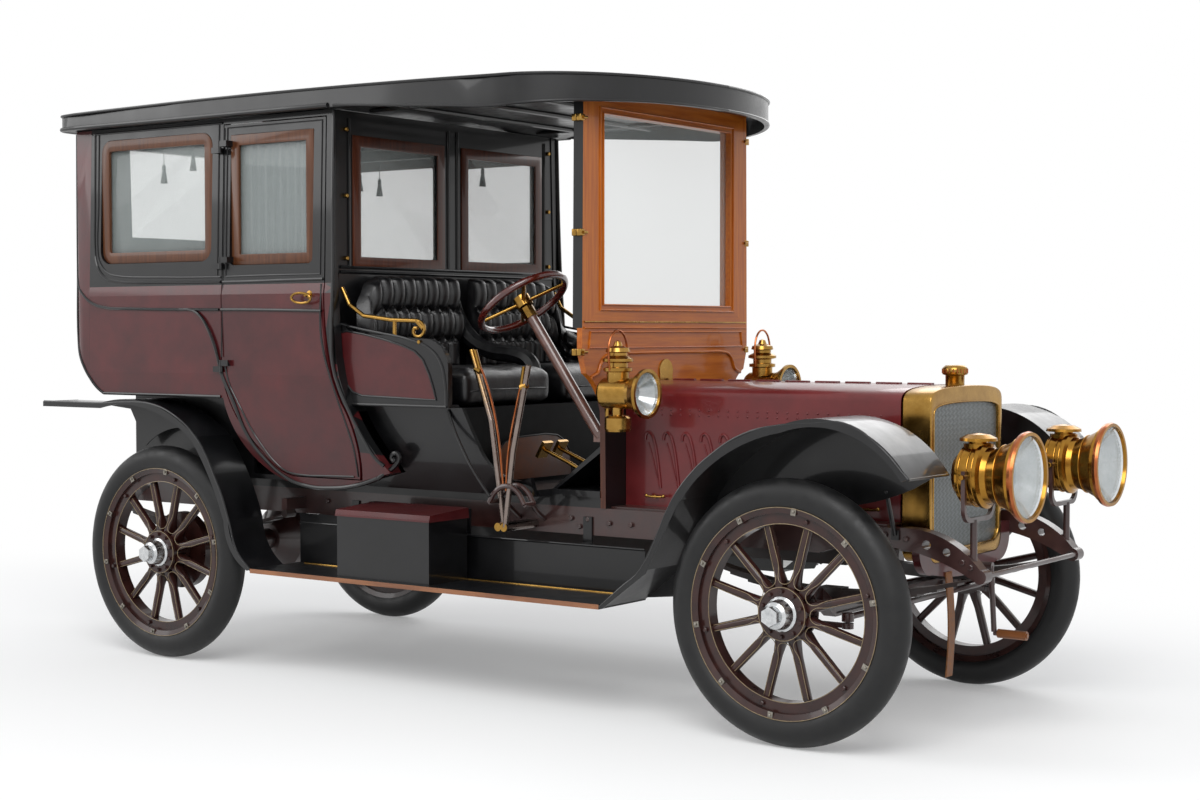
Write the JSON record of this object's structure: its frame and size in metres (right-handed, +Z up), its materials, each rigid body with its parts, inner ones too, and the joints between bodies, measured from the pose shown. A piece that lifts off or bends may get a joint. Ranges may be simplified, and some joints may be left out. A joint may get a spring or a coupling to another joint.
{
  "type": "chauffeur-driven limousine car of the veteran period",
  "caption": "Early limousine with closed rear cabin, open front seat under a long roof, brass lamps and wooden spoked wheels that roll and steer.",
  "frame": {"origin": "on the ground on the centre plane, midway between the axles", "axes": "+X forward, +Y the car's left, +Z up"},
  "size_m": [4.524, 1.694, 2.42],
  "materials": {
    "tyre": "worn matte",
    "wheel_paint": "gloss paint on wood with fine lines",
    "frame_paint": "gloss",
    "maroon": "gloss coach paint",
    "black": "gloss",
    "iron": "painted",
    "steel": "polished",
    "brass": "polished",
    "core": "honeycomb",
    "varnish": "varnished",
    "glass": "clear",
    "leather": "buttoned",
    "cloth": "woven",
    "canvas": "sealed roof cloth"
  },
  "bodies": {
    "chassis": {"rail_right": "frame_paint", "rail_left": "frame_paint", "cross_members": "frame_paint", "frame_brackets": "frame_paint", "front_apron": "maroon", "front_axle": "iron", "rear_axle": "iron", "front_springs": "iron", "rear_springs": "iron", "engine_block": "iron", "radiator_shell": "brass", "radiator_core": "core", "bonnet": "maroon", "dash": "varnish", "windscreen_frame": "varnish", "fixed_glass": "glass", "headlamps": "brass", "lamp_brackets": "iron", "sidelamps": "brass", "front_fenders": "black", "rear_fenders": "black", "running_boards": "black", "toolbox": "black", "cabin_sides": "maroon", "cabin_rear": "maroon", "cabin_division": "black", "cabin_floor": "black", "rear_seat": "cloth", "roof": "canvas", "front_body_sides": "black", "front_floor": "black", "front_seat": "leather", "seat_sides": "maroon", "seat_rails": "brass", "steering_column": "brass", "hand_levers": "steel", "pedals": "brass"},
    "knuckle_right": {"knuckle_right": "iron"},
    "knuckle_left": {"knuckle_left": "iron"},
    "tie_rod": {"tie_rod": "iron"},
    "steering_wheel": {"steering_wheel": "varnish"},
    "starting_crank": {"starting_crank": "iron"},
    "toolbox_lid": {"toolbox_lid": "maroon"},
    "door_right": {"door_right": "maroon", "door_glass_right": "glass"},
    "door_left": {"door_left": "maroon", "door_glass_left": "glass"},
    "wheel_front_right": {"wheel_front_right": "wheel_paint", "tyre_front_right": "tyre"},
    "wheel_front_left": {"wheel_front_left": "wheel_paint", "tyre_front_left": "tyre"},
    "wheel_rear_right": {"wheel_rear_right": "wheel_paint", "tyre_rear_right": "tyre"},
    "wheel_rear_left": {"wheel_rear_left": "wheel_paint", "tyre_rear_left": "tyre"}
  },
  "joints": [
    {"name": "steer_right", "type": "hinge", "parent": "chassis", "child": "knuckle_right", "pos_m": [1.545, -0.575, 0.457], "axis": [0, 0, 1], "range_deg": [-25, 25]},
    {"name": "steer_left", "type": "hinge", "parent": "chassis", "child": "knuckle_left", "pos_m": [1.545, 0.575, 0.457], "axis": [0, 0, 1], "range_deg": [-25, 25]},
    {"name": "tie_rod_pivot", "type": "hinge", "parent": "knuckle_right", "child": "tie_rod", "pos_m": [1.695, -0.575, 0.437], "axis": [0, 0, 1], "range_deg": [-25, 25]},
    {"name": "steering_wheel_turn", "type": "hinge", "parent": "chassis", "child": "steering_wheel", "pos_m": [0.15, -0.385, 1.52], "axis": [-0.5864, 0, 0.81], "range_deg": [-300, 300]},
    {"name": "door_right_hinge", "type": "hinge", "parent": "chassis", "child": "door_right", "pos_m": [-1.142, -0.772, 1.5], "axis": [0, 0, -1], "range_deg": [0, 80]},
    {"name": "door_left_hinge", "type": "hinge", "parent": "chassis", "child": "door_left", "pos_m": [-1.142, 0.772, 1.5], "axis": [0, 0, 1], "range_deg": [0, 80]},
    {"name": "toolbox_lid_hinge", "type": "hinge", "parent": "chassis", "child": "toolbox_lid", "pos_m": [-0.25, -0.534, 0.6745], "axis": [-1, 0, 0], "range_deg": [0, 15]},
    {"name": "crank_turn", "type": "hinge", "parent": "chassis", "child": "starting_crank", "pos_m": [1.9, 0, 0.573], "axis": [1, 0, 0], "continuous": true},
    {"name": "roll_front_right", "type": "hinge", "parent": "knuckle_right", "child": "wheel_front_right", "pos_m": [1.545, -0.717, 0.457], "axis": [0, 1, 0], "continuous": true},
    {"name": "roll_front_left", "type": "hinge", "parent": "knuckle_left", "child": "wheel_front_left", "pos_m": [1.545, 0.717, 0.457], "axis": [0, 1, 0], "continuous": true},
    {"name": "roll_rear_right", "type": "hinge", "parent": "chassis", "child": "wheel_rear_right", "pos_m": [-1.545, -0.717, 0.457], "axis": [0, 1, 0], "continuous": true},
    {"name": "roll_rear_left", "type": "hinge", "parent": "chassis", "child": "wheel_rear_left", "pos_m": [-1.545, 0.717, 0.457], "axis": [0, 1, 0], "continuous": true}
  ],
  "couplings": [
    {"joint": "steer_left", "follows": "steer_right", "ratio": 1},
    {"joint": "tie_rod_pivot", "follows": "steer_right", "ratio": -1},
    {"joint": "steering_wheel_turn", "follows": "steer_right", "ratio": 12}
  ]
}
